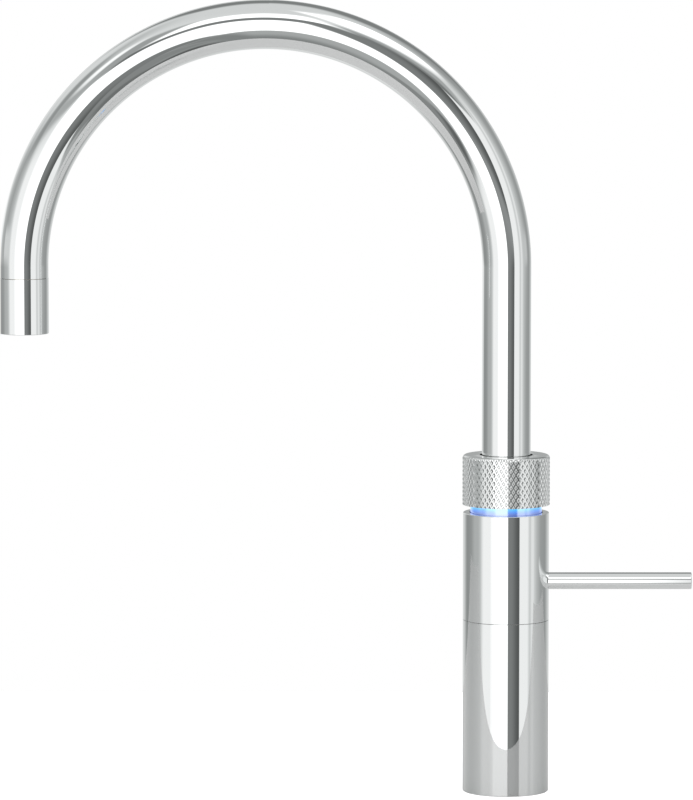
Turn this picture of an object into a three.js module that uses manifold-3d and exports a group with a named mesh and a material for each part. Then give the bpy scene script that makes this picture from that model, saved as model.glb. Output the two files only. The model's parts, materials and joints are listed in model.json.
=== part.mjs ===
// A worktop mixer tap that also gives boiling water.
// Millimetres, +Z up. The origin is the centre of the base on the worktop.
// The swan neck reaches over -X, the mixer lever points along +X.
import * as THREE from 'three';
import { mergeVertices } from 'three/addons/utils/BufferGeometryUtils.js';
import Module from 'manifold-3d';

const wasm = await Module();
wasm.setup();

// ---------------------------------------------------------------- driving dimensions

const GAP = 0.3; // seating and running gap between neighbouring pieces
const SEAM = 0.3; // open joint line between visible shells

const BODY_R = 20; // outside radius of both body shells
const BODY_WALL = 2;
const BODY_BORE_R = BODY_R - BODY_WALL;
const SEAM_Z = 80.6; // joint line between the base shell and the turning sleeve
const BODY_TOP_Z = 130.8;

const KNOB_R = 20.45; // over the knurl's points
const KNOB_LOW_Z = 134.5;
const KNOB_HIGH_Z = 157.7;
const KNOB_TRAVEL = 3; // how far the knob is pressed before it will turn
const KNURL_COLUMNS = 55; // diamonds round the knob
const KNURL_ROWS = 12; // half diamonds over its height
const KNURL_DEPTH = 0.5;
const KNOB_RIM = 1.4; // radius of the knob's rounded upper edge
const KNOB_RIM_STEPS = 2;

const NECK_R = 11.35; // outside radius of the swan neck's tube
const NECK_BORE_R = 10.1;
const NECK_FOOT_Z = 118.6;
const ARCH_R = 111.8; // centreline radius of the half circle
const ARCH_Z = 245.4; // height of the half circle's centre
const OUTLET_X = -2 * ARCH_R;
const OUTLET_R = 11.45;
const OUTLET_SEAM_Z = 240;
const OUTLET_LOW_Z = 214.2;

const LEVER_R = 3.9;
const LEVER_Z = 98.6;
const LEVER_PIVOT_X = 18.4;
const LEVER_TIP_X = 86.4;
const LEVER_BALL_X = 13.6;
const LEVER_BALL_R = 2.2;

const COLUMN_R = 8.5; // fixed post that the swan neck turns on
const COLUMN_BORE_R = 5.5;
const COLUMN_TOP_Z = 150;

const BOIL_R = 4; // thin pipe that carries the boiling water
const BOIL_BORE_R = 3;
const BOIL_JOINT_Z = 130; // where the fixed pipe meets the pipe in the neck

const STEM_X = -12; // boiling valve's stem, beside the axis
const STEM_R = 2;
const STEM_TOP_Z = 59.7;
const STEM_STROKE = 2; // pushed down by a quarter turn of the cam

const SHANK_R = 16; // threaded shank through a 35 mm tap hole
const SHANK_BORE_R = 13.2;
const SHANK_FOOT_Z = -62;
const WORKTOP = 40; // thickness of worktop that is clamped

const FINE = 36; // facets round a visible shell
const PLAIN = 20; // facets round an inner ring
const SMALL = 16; // facets round a ring inside the neck
const THIN = 10; // facets round a thin rod or pipe

// ---------------------------------------------------------------- shape helpers

const rad = THREE.MathUtils.degToRad;

/** Welds a surface's vertices, drops flat-out triangles and turns its faces outwards. */
function weld(geometry) {
  const bare = new THREE.BufferGeometry();
  bare.setAttribute('position', geometry.getAttribute('position').clone());
  bare.setIndex(geometry.getIndex());
  const merged = mergeVertices(bare, 1e-4);
  const at = merged.getAttribute('position');
  const corner = (i) => new THREE.Vector3().fromBufferAttribute(at, i);
  const faces = [];
  let volume = 0;
  for (let i = 0; i < merged.index.count; i += 3) {
    const face = [0, 1, 2].map((k) => merged.index.getX(i + k));
    if (new Set(face).size === 3) {
      faces.push(face);
      const [a, b, c] = face.map(corner);
      volume += a.dot(b.cross(c));
    }
  }
  const outward = volume > 0 ? faces : faces.map(([a, b, c]) => [a, c, b]);
  merged.setIndex(outward.flat());
  return merged;
}

/** The manifold solid inside a closed surface. */
function solid(geometry) {
  const welded = weld(geometry);
  const vertProperties = new Float32Array(welded.getAttribute('position').array);
  const triVerts = new Uint32Array(welded.index.array);
  return new wasm.Manifold(new wasm.Mesh({ numProp: 3, vertProperties, triVerts }));
}

/** A surface with pieces added to it and then pieces cut from it. */
function carve(base, { add = [], cut = [] }) {
  let shape = solid(base);
  add.forEach((part) => { shape = shape.add(solid(part)); });
  cut.forEach((part) => { shape = shape.subtract(solid(part)); });
  const { vertProperties, triVerts } = shape.getMesh();
  const geometry = new THREE.BufferGeometry();
  geometry.setAttribute('position', new THREE.BufferAttribute(vertProperties, 3));
  geometry.setIndex(new THREE.BufferAttribute(triVerts, 1));
  return geometry;
}

/** Turns an outline of [radius, height] points about the Z axis. */
function revolve(outline, facets = PLAIN) {
  const points = [...outline, outline[0]].map(([r, z]) => new THREE.Vector2(r, z));
  const geometry = new THREE.LatheGeometry(points, facets);
  geometry.rotateX(Math.PI / 2);
  return geometry;
}

/** A plain tube or ring between two radii and two heights. */
function ring([inner, outer], [low, high], facets = PLAIN) {
  return revolve([[inner, low], [outer, low], [outer, high], [inner, high]], facets);
}

/** A solid round bar along Z, at a place in the XY plane. */
function bar(radius, [low, high], facets = SMALL, [x, y] = [0, 0]) {
  const geometry = new THREE.CylinderGeometry(radius, radius, high - low, facets);
  geometry.rotateX(Math.PI / 2);
  geometry.translate(x, y, (low + high) / 2);
  return geometry;
}

/** A curved block between two radii, two angles in degrees and two heights. */
function sector([inner, outer], [from, to], [low, high], curveSegments = 3) {
  const shape = new THREE.Shape();
  shape.absarc(0, 0, outer, rad(from), rad(to), false);
  shape.absarc(0, 0, inner, rad(to), rad(from), true);
  const geometry = new THREE.ExtrudeGeometry(shape, {
    depth: high - low,
    bevelEnabled: false,
    curveSegments,
  });
  geometry.translate(0, 0, low);
  return geometry;
}

/** The same block repeated round the axis. */
function sectorsAround(count, radii, halfAngle, heights) {
  return Array.from({ length: count }, (_, i) => {
    const middle = (i * 360) / count;
    return sector(radii, [middle - halfAngle, middle + halfAngle], heights, 1);
  });
}

/** A grid of points joined into quads; each way it can close on itself. */
function gridFaces(rows, columns, closeRows, closeColumns) {
  const faces = [];
  const lastRow = closeRows ? rows : rows - 1;
  const lastColumn = closeColumns ? columns : columns - 1;
  for (let i = 0; i < lastRow; i += 1) {
    for (let j = 0; j < lastColumn; j += 1) {
      const a = i * columns + j;
      const b = i * columns + ((j + 1) % columns);
      const c = ((i + 1) % rows) * columns + ((j + 1) % columns);
      const d = ((i + 1) % rows) * columns + j;
      faces.push([a, b, c], [a, c, d]);
    }
  }
  return faces;
}

function meshFrom(points, faces) {
  const geometry = new THREE.BufferGeometry();
  const flat = points.flatMap((p) => [p.x, p.y, p.z]);
  geometry.setAttribute('position', new THREE.Float32BufferAttribute(flat, 3));
  geometry.setIndex(faces.flat());
  return geometry;
}

/** A ring whose [radius, height] section changes with the angle round the Z axis. */
function variedRing(sectionAt, facets) {
  const points = [];
  for (let i = 0; i < facets; i += 1) {
    const angle = (2 * Math.PI * i) / facets;
    sectionAt(THREE.MathUtils.radToDeg(angle)).forEach(([r, z]) => {
      points.push(new THREE.Vector3(r * Math.cos(angle), r * Math.sin(angle), z));
    });
  }
  return meshFrom(points, gridFaces(facets, points.length / facets, true, true));
}

/** A tube on a centreline in the XZ plane; each station has a place, a lean and two radii. */
function bentTube(stations, sides) {
  const points = [];
  stations.forEach(({ x, z, lean, outer, inner }) => {
    const across = new THREE.Vector3(Math.cos(lean), 0, Math.sin(lean));
    [outer, inner].forEach((radius) => {
      for (let k = 0; k < sides; k += 1) {
        const turn = (2 * Math.PI * k) / sides;
        const point = new THREE.Vector3(x, 0, z);
        point.addScaledVector(across, radius * Math.cos(turn));
        point.y = radius * Math.sin(turn);
        points.push(point);
      }
    });
  });
  const skinAt = (station, skin, k) => (2 * station + skin) * sides + (k % sides);
  const faces = [];
  for (let s = 0; s + 1 < stations.length; s += 1) {
    for (let k = 0; k < sides; k += 1) {
      const [a, b] = [skinAt(s, 0, k), skinAt(s, 0, k + 1)];
      const [c, d] = [skinAt(s + 1, 0, k + 1), skinAt(s + 1, 0, k)];
      faces.push([a, b, c], [a, c, d]);
      const [e, f] = [skinAt(s, 1, k), skinAt(s, 1, k + 1)];
      const [g, h] = [skinAt(s + 1, 1, k + 1), skinAt(s + 1, 1, k)];
      faces.push([e, g, f], [e, h, g]);
    }
  }
  const last = stations.length - 1;
  for (let k = 0; k < sides; k += 1) {
    faces.push([skinAt(0, 0, k), skinAt(0, 1, k), skinAt(0, 1, k + 1)]);
    faces.push([skinAt(0, 0, k), skinAt(0, 1, k + 1), skinAt(0, 0, k + 1)]);
    faces.push([skinAt(last, 0, k), skinAt(last, 1, k + 1), skinAt(last, 1, k)]);
    faces.push([skinAt(last, 0, k), skinAt(last, 0, k + 1), skinAt(last, 1, k + 1)]);
  }
  return meshFrom(points, faces);
}

/** Stations of the swan neck's half circle, from above the body to above the outlet. */
function archStations(steps, outer, inner) {
  return Array.from({ length: steps + 1 }, (_, i) => {
    const lean = (Math.PI * i) / steps;
    const x = -ARCH_R + ARCH_R * Math.cos(lean);
    const z = ARCH_Z + ARCH_R * Math.sin(lean);
    return { x, z, lean, outer, inner };
  });
}

/** A round wire wound into an open helix about the Z axis, with square-cut ends. */
function coil({ radius, wire, low, high, turns, steps, sides }) {
  const count = turns * steps;
  const rise = (high - low - 2 * wire) / count;
  const points = [];
  for (let i = 0; i <= count; i += 1) {
    const angle = (2 * Math.PI * i) / steps;
    for (let k = 0; k < sides; k += 1) {
      const turn = (2 * Math.PI * k) / sides;
      const r = radius + wire * Math.cos(turn);
      const z = low + wire + rise * i + wire * Math.sin(turn);
      points.push(new THREE.Vector3(r * Math.cos(angle), r * Math.sin(angle), z));
    }
  }
  const faces = gridFaces(count + 1, sides, false, true);
  for (let k = 1; k + 1 < sides; k += 1) {
    const end = count * sides;
    faces.push([0, k + 1, k], [end, end + k, end + k + 1]);
  }
  return meshFrom(points, faces);
}

// ---------------------------------------------------------------- finishes

const finish = (color, roughness, metalness) => (
  new THREE.MeshStandardMaterial({ color, roughness, metalness })
);
const CHROME = finish(0xd6dad9, 0.05, 1);
const BRASS = finish(0xb5924c, 0.35, 1);
const STEEL = finish(0xa9abac, 0.3, 1);
const RUBBER = finish(0x1c1c1d, 0.85, 0);
const ACETAL = finish(0xe6e4dc, 0.5, 0);
const CERAMIC = finish(0xf1ede4, 0.25, 0);
const BOARD = finish(0x14532d, 0.6, 0);
const LIGHT = finish(0x6fb6ff, 0.1, 0);

function piece(name, geometry, material) {
  const mesh = new THREE.Mesh(weld(geometry), material);
  mesh.name = name;
  return mesh;
}

function body(...pieces) {
  const group = new THREE.Group();
  group.add(...pieces);
  return group;
}

// ---------------------------------------------------------------- base and fixings

const FLANGE_Z = 4; // thickness of the base shell's foot
const FLANGE_BORE_R = SHANK_R + 0.4;
const REBATE = { r: 18.9, z: 1.2 }; // seat of the base gasket

function baseShell() {
  const top = SEAM_Z - SEAM / 2;
  return revolve([
    [REBATE.r, 0], [BODY_R, 0], [BODY_R, top], [BODY_BORE_R, top], [BODY_BORE_R, FLANGE_Z],
    [FLANGE_BORE_R, FLANGE_Z], [FLANGE_BORE_R, REBATE.z], [REBATE.r, REBATE.z],
  ], FINE);
}

function baseGasket() {
  return ring([FLANGE_BORE_R + GAP, REBATE.r - GAP], [0, REBATE.z - GAP]);
}

const BLOCK_R = BODY_BORE_R - 0.6;
const BLOCK_NECK_R = SHANK_BORE_R - GAP;
const BLOCK_SHOULDER_Z = 12.3;
const CUP_FLOOR_Z = 57.3;
const CUP_TOP_Z = 78;
const CUP_R = 15;
const COLUMN_FOOT_Z = 50;
const RISER_FOOT_Z = 20;
const INLET_PITCH_R = 7.4;
const INLET_ANGLES = { cold_inlet: 30, hot_inlet: 150, boiling_inlet: 270 };
const INLET_SOCKET_R = 4.2;
const INLET_SOCKET_Z = [2, 14];
const STEM_BORE_Z = 26;

function inletPlace(angle) {
  return [INLET_PITCH_R * Math.cos(rad(angle)), INLET_PITCH_R * Math.sin(rad(angle))];
}

/** Brass block with the hose sockets below, the stem's bore and a cup for the cam above. */
function valveBlock() {
  const [socketLow, socketHigh] = INLET_SOCKET_Z;
  const skirt = SHANK_R + GAP;
  const block = revolve([
    [0, socketLow], [BLOCK_NECK_R, socketLow], [BLOCK_NECK_R, BLOCK_SHOULDER_Z],
    [skirt, BLOCK_SHOULDER_Z], [skirt, FLANGE_Z + GAP], [BLOCK_R, FLANGE_Z + GAP],
    [BLOCK_R, CUP_TOP_Z], [CUP_R, CUP_TOP_Z], [CUP_R, CUP_FLOOR_Z],
    [COLUMN_R + GAP, CUP_FLOOR_Z], [COLUMN_R + GAP, COLUMN_FOOT_Z],
    [BOIL_R + GAP, COLUMN_FOOT_Z], [BOIL_R + GAP, RISER_FOOT_Z - GAP],
    [0, RISER_FOOT_Z - GAP],
  ], 24);
  const sockets = Object.values(INLET_ANGLES).map((angle) => (
    bar(INLET_SOCKET_R, [socketLow - 1, socketHigh], THIN, inletPlace(angle))
  ));
  const stemBore = bar(STEM_R + GAP, [STEM_BORE_Z, CUP_FLOOR_Z + 1], THIN, [STEM_X, 0]);
  return carve(block, { cut: [...sockets, stemBore] });
}

/** Hose nipple that screws into a socket of the valve block. */
function inletFitting() {
  const nippleR = 3.2;
  const nippleLow = -10;
  const boreR = 2.2;
  const shoulderZ = 1.4;
  const top = INLET_SOCKET_Z[1] - GAP;
  const screwR = INLET_SOCKET_R - GAP;
  return revolve([
    [boreR, nippleLow], [nippleR, nippleLow], [nippleR, shoulderZ],
    [screwR, shoulderZ], [screwR, top], [boreR, top],
  ], THIN);
}

function threadedShank() {
  return ring([SHANK_BORE_R, SHANK_R], [SHANK_FOOT_Z, BLOCK_SHOULDER_Z - GAP]);
}

const WASHER_R = 26;
const RUBBER_WASHER = 3;
const STEEL_WASHER = 2.2;
const NUT_HEIGHT = 10;
const NUT_R = 24;

function washer(top, thickness) {
  return ring([SHANK_R + 0.4, WASHER_R], [top - thickness, top]);
}

function fixingNut(top) {
  const outline = new THREE.Shape();
  for (let k = 0; k < 6; k += 1) {
    const angle = (Math.PI * k) / 3;
    const corner = [NUT_R * Math.cos(angle), NUT_R * Math.sin(angle)];
    if (k === 0) outline.moveTo(...corner);
    else outline.lineTo(...corner);
  }
  outline.holes.push(new THREE.Path().absarc(0, 0, SHANK_R + GAP, 0, 2 * Math.PI, true));
  const geometry = new THREE.ExtrudeGeometry(outline, {
    depth: NUT_HEIGHT,
    bevelEnabled: false,
    curveSegments: 12,
  });
  geometry.translate(0, 0, top - NUT_HEIGHT);
  return geometry;
}

// ---------------------------------------------------------------- post that the neck turns on

const THRUST_COLLAR = { r: 9.6, z: [118, 120.7] };
const RING_GROOVES = [[129, 131], [139.5, 141.5]];
const CLIP_GROOVE = [134.8, 136.2];
const GROOVE_R = COLUMN_R - 0.4;
const BUSHES = [[121, 127], [143, 149]];
const O_RING = { r: 9.1, wire: 0.7 };

function riserColumn() {
  const [collarLow, collarHigh] = THRUST_COLLAR.z;
  const grooves = [RING_GROOVES[0], CLIP_GROOVE, RING_GROOVES[1]].flatMap(([low, high]) => [
    [COLUMN_R, low], [GROOVE_R, low], [GROOVE_R, high], [COLUMN_R, high],
  ]);
  return revolve([
    [COLUMN_BORE_R, COLUMN_FOOT_Z + GAP], [COLUMN_R, COLUMN_FOOT_Z + GAP],
    [COLUMN_R, collarLow], [THRUST_COLLAR.r, collarLow],
    [THRUST_COLLAR.r, collarHigh], [COLUMN_R, collarHigh],
    ...grooves,
    [COLUMN_R, COLUMN_TOP_Z], [COLUMN_BORE_R, COLUMN_TOP_Z],
  ], 14);
}

function spoutBush(heights) {
  return ring([COLUMN_R + GAP, NECK_BORE_R - GAP], heights, SMALL);
}

function oRing([low, high]) {
  const geometry = new THREE.TorusGeometry(O_RING.r, O_RING.wire, 5, SMALL);
  geometry.translate(0, 0, (low + high) / 2);
  return geometry;
}

/** Split ring that snaps into the post and into the neck, and keeps the neck down. */
function spoutClip() {
  const [low, high] = CLIP_GROOVE;
  return sector([GROOVE_R + GAP, NECK_BORE_R + GAP], [30, 330], [low + 0.2, high - 0.2], 7);
}

function boilingRiser() {
  return ring([BOIL_BORE_R, BOIL_R], [RISER_FOOT_Z, BOIL_JOINT_Z - GAP], THIN);
}

function boilingSeal() {
  return ring([BOIL_R + GAP, COLUMN_BORE_R - GAP], [BOIL_JOINT_Z - 4, BOIL_JOINT_Z + 3.5], THIN);
}

// ---------------------------------------------------------------- inner frame and light

const COVER_Z = [CUP_TOP_Z + GAP, CUP_TOP_Z + 2];
const DISC_R = [10.9, 14.5];
const FRAME_R = [14.9, 16.4];
const FRAME_Z = [COVER_Z[1] + GAP, 120.7];
const WINDOW = { halfAngle: 57, z: [LEVER_Z - 5, LEVER_Z + 5] };
const GLIDE_R = [FRAME_R[1] + 0.4, BODY_BORE_R - GAP];
const GLIDE_RINGS = [[82, 86], [112, 116]];

/** Fixed sleeve that the mixer sleeve turns on; the lever works through its window. */
function innerFrame() {
  const tube = ring(FRAME_R, FRAME_Z, 24);
  const { halfAngle, z } = WINDOW;
  return carve(tube, { cut: [sector([12, 19], [-halfAngle, halfAngle], z)] });
}

const BOARD_Z = [FRAME_Z[1] + GAP, 122.6];
const LENS_R = [15.2, 16.6];
const LENS_Z = [123.6, 135.2];
const LED_COUNT = 4;

function lightBoard() {
  const top = BOARD_Z[1];
  const leds = sectorsAround(LED_COUNT, [15.2, 16.6], 4, [top - 0.2, top + 0.6]);
  return carve(ring([14.8, 17.4], BOARD_Z), { add: leds });
}

/** Clear ring that glows in the gap under the knob. */
function lightRing() {
  const [inner, outer] = LENS_R;
  const [low, high] = LENS_Z;
  const edge = 0.3;
  return revolve([
    [inner, low], [outer, low], [outer, high - edge], [outer - edge, high], [inner, high],
  ], FINE);
}

// ---------------------------------------------------------------- mixing valve and lever

const FIXED_DISC_Z = [COVER_Z[1] + GAP, 83];
const MOVING_DISC_Z = [83.3, 86.3];
const PORT_R = [11.7, 13.7];
const LEG_ANGLES = [90, 270];
const LEG_HALF_ANGLE = 9;
const COLLAR_R = [10.8, 14.5];
const COLLAR_Z = [92, 105];

/** Lower ceramic disc: hot port, cold port and the port that the mixed water leaves by. */
function fixedDisc() {
  const [low, high] = [FIXED_DISC_Z[0] - 1, FIXED_DISC_Z[1] + 1];
  const ports = [[-40, 40], [95, 145], [215, 265]].map((span) => (
    sector(PORT_R, span, [low, high])
  ));
  return carve(ring(DISC_R, FIXED_DISC_Z), { cut: ports });
}

/** Upper ceramic disc: a channel in its underside, and notches for the collar's legs. */
function movingDisc() {
  const [low, high] = MOVING_DISC_Z;
  const channel = sector(PORT_R, [-65, 65], [low - 1, low + 1.4]);
  const notches = LEG_ANGLES.map((middle) => {
    const half = LEG_HALF_ANGLE + 2;
    return sector([12, 16], [middle - half, middle + half], [low - 1, high + 1], 1);
  });
  return carve(ring(DISC_R, MOVING_DISC_Z), { cut: [channel, ...notches] });
}

/** Sliding collar: the lever's ball sits in its pocket, its legs turn the upper disc. */
function flowCollar() {
  const pocket = bar(LEVER_BALL_R + GAP, [8, 16], 12);
  pocket.rotateY(Math.PI / 2);
  pocket.translate(0, 0, LEVER_Z);
  const legs = LEG_ANGLES.map((middle) => sector(
    [12.3, 14.2],
    [middle - LEG_HALF_ANGLE, middle + LEG_HALF_ANGLE],
    [MOVING_DISC_Z[0] + 1.2, COLLAR_Z[0] + 0.5],
    1,
  ));
  return carve(ring(COLLAR_R, COLLAR_Z, 24), { add: legs, cut: [pocket] });
}

const LEVER_HOLE_R = 4.4;
const PIN_R = 0.45;
const PIN_SEAT_R = 0.65;
const PIN_HALF_LENGTH = 5.2;

function crossPin(radius, halfLength, facets = 8) {
  const geometry = bar(radius, [-halfLength, halfLength], facets);
  geometry.rotateX(Math.PI / 2);
  return geometry;
}

/** Upper body shell, which turns with the lever to set the temperature. */
function mixerSleeve() {
  const flange = 2;
  const flangeBore = LENS_R[1] + GAP;
  const shell = revolve([
    [BODY_BORE_R, SEAM_Z + SEAM / 2], [BODY_R, SEAM_Z + SEAM / 2], [BODY_R, BODY_TOP_Z],
    [flangeBore, BODY_TOP_Z], [flangeBore, BODY_TOP_Z - flange],
    [BODY_BORE_R, BODY_TOP_Z - flange],
  ], FINE);
  const leverHole = bar(LEVER_HOLE_R, [12, BODY_R + 2], PLAIN);
  leverHole.rotateY(Math.PI / 2);
  leverHole.translate(0, 0, LEVER_Z);
  const pinSeat = crossPin(PIN_SEAT_R, PIN_HALF_LENGTH + 0.2);
  pinSeat.translate(LEVER_PIVOT_X, 0, LEVER_Z);
  return carve(shell, { cut: [leverHole, pinSeat] });
}

/** Straight rod with a ball on its inner end, drawn about its own pivot. */
function leverRod() {
  const neckR = 1.4;
  const edge = 0.3;
  const ballAt = LEVER_BALL_X - LEVER_PIVOT_X;
  const rootAt = 17 - LEVER_PIVOT_X;
  const tipAt = LEVER_TIP_X - LEVER_PIVOT_X;
  const neckTurn = Math.asin(neckR / LEVER_BALL_R);
  const ballSteps = 4;
  const ball = Array.from({ length: ballSteps + 1 }, (_, i) => {
    const turn = ((Math.PI - neckTurn) * i) / ballSteps;
    return [LEVER_BALL_R * Math.sin(turn), ballAt - LEVER_BALL_R * Math.cos(turn)];
  });
  const rod = revolve([
    ...ball, [neckR, rootAt], [LEVER_R, rootAt],
    [LEVER_R, tipAt - edge], [LEVER_R - edge, tipAt], [0, tipAt],
  ]);
  rod.rotateY(Math.PI / 2);
  return carve(rod, { cut: [crossPin(PIN_SEAT_R, LEVER_R + 1)] });
}

// ---------------------------------------------------------------- boiling water control

const DRIVE = {
  low: 60.5, web: [114.5, 117], high: 141, inner: 9.1, waist: 10.5, outer: 14.2, bore: 12.4,
};
const KEYS = { count: 6, halfAngle: 6, r: 14.9, z: [136, 141] };
const CAM_R = [10.8, 14];
const CAM_TOP_Z = 66;

/** Tube from the knob down to the cam, round the post and the foot of the neck. */
function driveSleeve() {
  const { low, web, high, inner, waist, outer, bore } = DRIVE;
  const tube = revolve([
    [inner, low], [waist, low], [waist, web[0]], [outer, web[0]],
    [outer, high], [bore, high], [bore, web[1]], [inner, web[1]],
  ], 24);
  const keys = sectorsAround(KEYS.count, [outer - 0.5, KEYS.r], KEYS.halfAngle, KEYS.z);
  return carve(tube, { add: keys });
}

/** Ring cam: over the stem at rest, its underside falls by the stroke in a quarter turn. */
function camRing() {
  const restZ = STEM_TOP_Z + GAP;
  const [inner, outer] = CAM_R;
  const underside = (angle) => {
    const turned = 180 - angle; // knob angle that brings this part of the cam over the stem
    const ramp = THREE.MathUtils.clamp(turned / 90, 0, 1.2);
    const back = THREE.MathUtils.clamp((angle - 10) / 40, 0, 1);
    return restZ - STEM_STROKE * ramp * back;
  };
  return variedRing((angle) => [
    [inner, underside(angle)], [outer, underside(angle)], [outer, CAM_TOP_Z], [inner, CAM_TOP_Z],
  ], 24);
}

const STEM_FOOT_Z = 34;
const STEM_GROOVE = [50.1, 51.3];
const STEM_SEAL = { r: 1.85, wire: 0.3 };

function valveStem() {
  const grooveR = 1.4;
  const groove = STEM_GROOVE;
  const tipR = 1.2;
  return revolve([
    [0, STEM_FOOT_Z], [STEM_R, STEM_FOOT_Z], [STEM_R, groove[0]], [grooveR, groove[0]],
    [grooveR, groove[1]], [STEM_R, groove[1]], [STEM_R, STEM_TOP_Z - 0.8],
    [tipR, STEM_TOP_Z], [0, STEM_TOP_Z],
  ], THIN);
}

function stemSeal() {
  const geometry = new THREE.TorusGeometry(STEM_SEAL.r, STEM_SEAL.wire, 4, THIN);
  geometry.translate(0, 0, (STEM_GROOVE[0] + STEM_GROOVE[1]) / 2);
  return geometry;
}

/** Levels of the knob's skin: every half diamond, then closer ones round the upper edge. */
function knurlLevels(pitch) {
  const levels = [];
  for (let row = 0; row < KNURL_ROWS; row += 1) levels.push({ row, inset: 0 });
  for (let step = 0; step <= KNOB_RIM_STEPS; step += 1) {
    const angle = (step * Math.PI) / 2 / KNOB_RIM_STEPS;
    const drop = KNOB_RIM * (1 - Math.sin(angle));
    levels.push({ row: KNURL_ROWS - drop / pitch, inset: KNOB_RIM * (1 - Math.cos(angle)) });
  }
  return levels;
}

/** Round the knob every second point of this lattice is a diamond's peak. */
function knurledBlank() {
  const across = 2 * KNURL_COLUMNS;
  const pitchZ = (KNOB_HIGH_Z - KNOB_LOW_Z) / KNURL_ROWS;
  const levels = knurlLevels(pitchZ);
  const latticeRadius = (row, column) => {
    const peak = (row + column) % 2 === 1;
    return peak ? KNOB_R : KNOB_R - KNURL_DEPTH;
  };
  const radiusAt = ({ row, inset }, column) => {
    const below = Math.floor(row);
    const share = row - below;
    const knurled = (1 - share) * latticeRadius(below, column)
      + share * latticeRadius(below + 1, column);
    return Math.min(knurled, KNOB_R - inset);
  };
  const points = [];
  for (const level of levels) {
    for (let column = 0; column < across; column += 1) {
      const angle = (2 * Math.PI * column) / across;
      const r = radiusAt(level, column);
      const z = KNOB_LOW_Z + level.row * pitchZ;
      points.push(new THREE.Vector3(r * Math.cos(angle), r * Math.sin(angle), z));
    }
  }
  const lastRow = levels.length - 1;
  const faces = [];
  const at = (row, column) => row * across + (column % across);
  for (let row = 0; row < lastRow; row += 1) {
    for (let column = 0; column < across; column += 1) {
      const [a, b] = [at(row, column), at(row, column + 1)];
      const [c, d] = [at(row + 1, column + 1), at(row + 1, column)];
      const valleyAtA = (row + column) % 2 === 0;
      if (valleyAtA) faces.push([a, b, c], [a, c, d]);
      else faces.push([a, b, d], [b, c, d]);
    }
  }
  const [bottom, top] = [points.length, points.length + 1];
  points.push(new THREE.Vector3(0, 0, KNOB_LOW_Z), new THREE.Vector3(0, 0, KNOB_HIGH_Z));
  for (let column = 0; column < across; column += 1) {
    faces.push([bottom, at(0, column + 1), at(0, column)]);
    faces.push([top, at(lastRow, column), at(lastRow, column + 1)]);
  }
  return meshFrom(points, faces);
}

const KNOB_BORE_R = 12.1;
const KNOB_RECESS = { r: 17.3, top: LENS_Z[1] + KNOB_TRAVEL + 1 }; // clears the light ring
const SPLINE_R = 14.5;
const SPLINE_TOP_Z = DRIVE.high + KNOB_TRAVEL + 1;
const CHAMBER = { r: 15.2, top: 153.2 }; // room for the return spring

/** Knurled ring that is pressed and turned for boiling water. */
function controlKnob() {
  const hollow = revolve([
    [0, KNOB_LOW_Z - 1], [KNOB_RECESS.r, KNOB_LOW_Z - 1], [KNOB_RECESS.r, KNOB_RECESS.top],
    [SPLINE_R, KNOB_RECESS.top], [SPLINE_R, SPLINE_TOP_Z], [CHAMBER.r, SPLINE_TOP_Z],
    [CHAMBER.r, CHAMBER.top], [KNOB_BORE_R, CHAMBER.top], [KNOB_BORE_R, KNOB_HIGH_Z + 1],
    [0, KNOB_HIGH_Z + 1],
  ], PLAIN);
  const slots = sectorsAround(
    KEYS.count,
    [SPLINE_R - 1, CHAMBER.r],
    KEYS.halfAngle + 2,
    [KNOB_RECESS.top - 1, SPLINE_TOP_Z + 0.1],
  );
  return carve(knurledBlank(), { cut: [hollow, ...slots] });
}

function knobSpring() {
  return coil({
    radius: 13.4,
    wire: 0.6,
    low: DRIVE.high + GAP,
    high: CHAMBER.top - GAP,
    turns: 4,
    steps: 10,
    sides: 5,
  });
}

function valveSpring() {
  return coil({
    radius: 1.5,
    wire: 0.3,
    low: STEM_BORE_Z + GAP,
    high: STEM_FOOT_Z - GAP,
    turns: 4,
    steps: 6,
    sides: 4,
  });
}

// ---------------------------------------------------------------- swan neck and outlet

const NECK_GROOVE_R = 10.7;
const CAP_BORE_R = 10.4;
const CAP_LIP = { r: 9.8, top: 215 };
const INSERT_Z = [CAP_LIP.top + GAP, 222.1];
const NECK_SIDES = 20;

function swanNeck() {
  const straight = (z, inner = NECK_BORE_R) => ({ x: 0, z, lean: 0, outer: NECK_R, inner });
  const [clipLow, clipHigh] = [CLIP_GROOVE[0] - 0.1, CLIP_GROOVE[1] + 0.1];
  const stations = [
    straight(NECK_FOOT_Z),
    straight(clipLow), straight(clipLow, NECK_GROOVE_R),
    straight(clipHigh, NECK_GROOVE_R), straight(clipHigh),
    ...archStations(18, NECK_R, NECK_BORE_R),
    { x: OUTLET_X, z: OUTLET_SEAM_Z + SEAM / 2, lean: Math.PI, outer: NECK_R, inner: NECK_BORE_R },
  ];
  return bentTube(stations, NECK_SIDES);
}

function boilingPipe() {
  const size = { outer: BOIL_R, inner: BOIL_BORE_R };
  const stations = [
    { x: 0, z: BOIL_JOINT_Z, lean: 0, ...size },
    ...archStations(10, BOIL_R, BOIL_BORE_R),
    { x: OUTLET_X, z: INSERT_Z[1] + GAP, lean: Math.PI, ...size },
  ];
  return bentTube(stations, 8);
}

function outletCap() {
  const edge = 0.25;
  const top = OUTLET_SEAM_Z - SEAM / 2;
  return revolve([
    [CAP_LIP.r, OUTLET_LOW_Z], [OUTLET_R - edge, OUTLET_LOW_Z], [OUTLET_R, OUTLET_LOW_Z + edge],
    [OUTLET_R, top], [CAP_BORE_R, top], [CAP_BORE_R, CAP_LIP.top], [CAP_LIP.r, CAP_LIP.top],
  ], 28);
}

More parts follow.
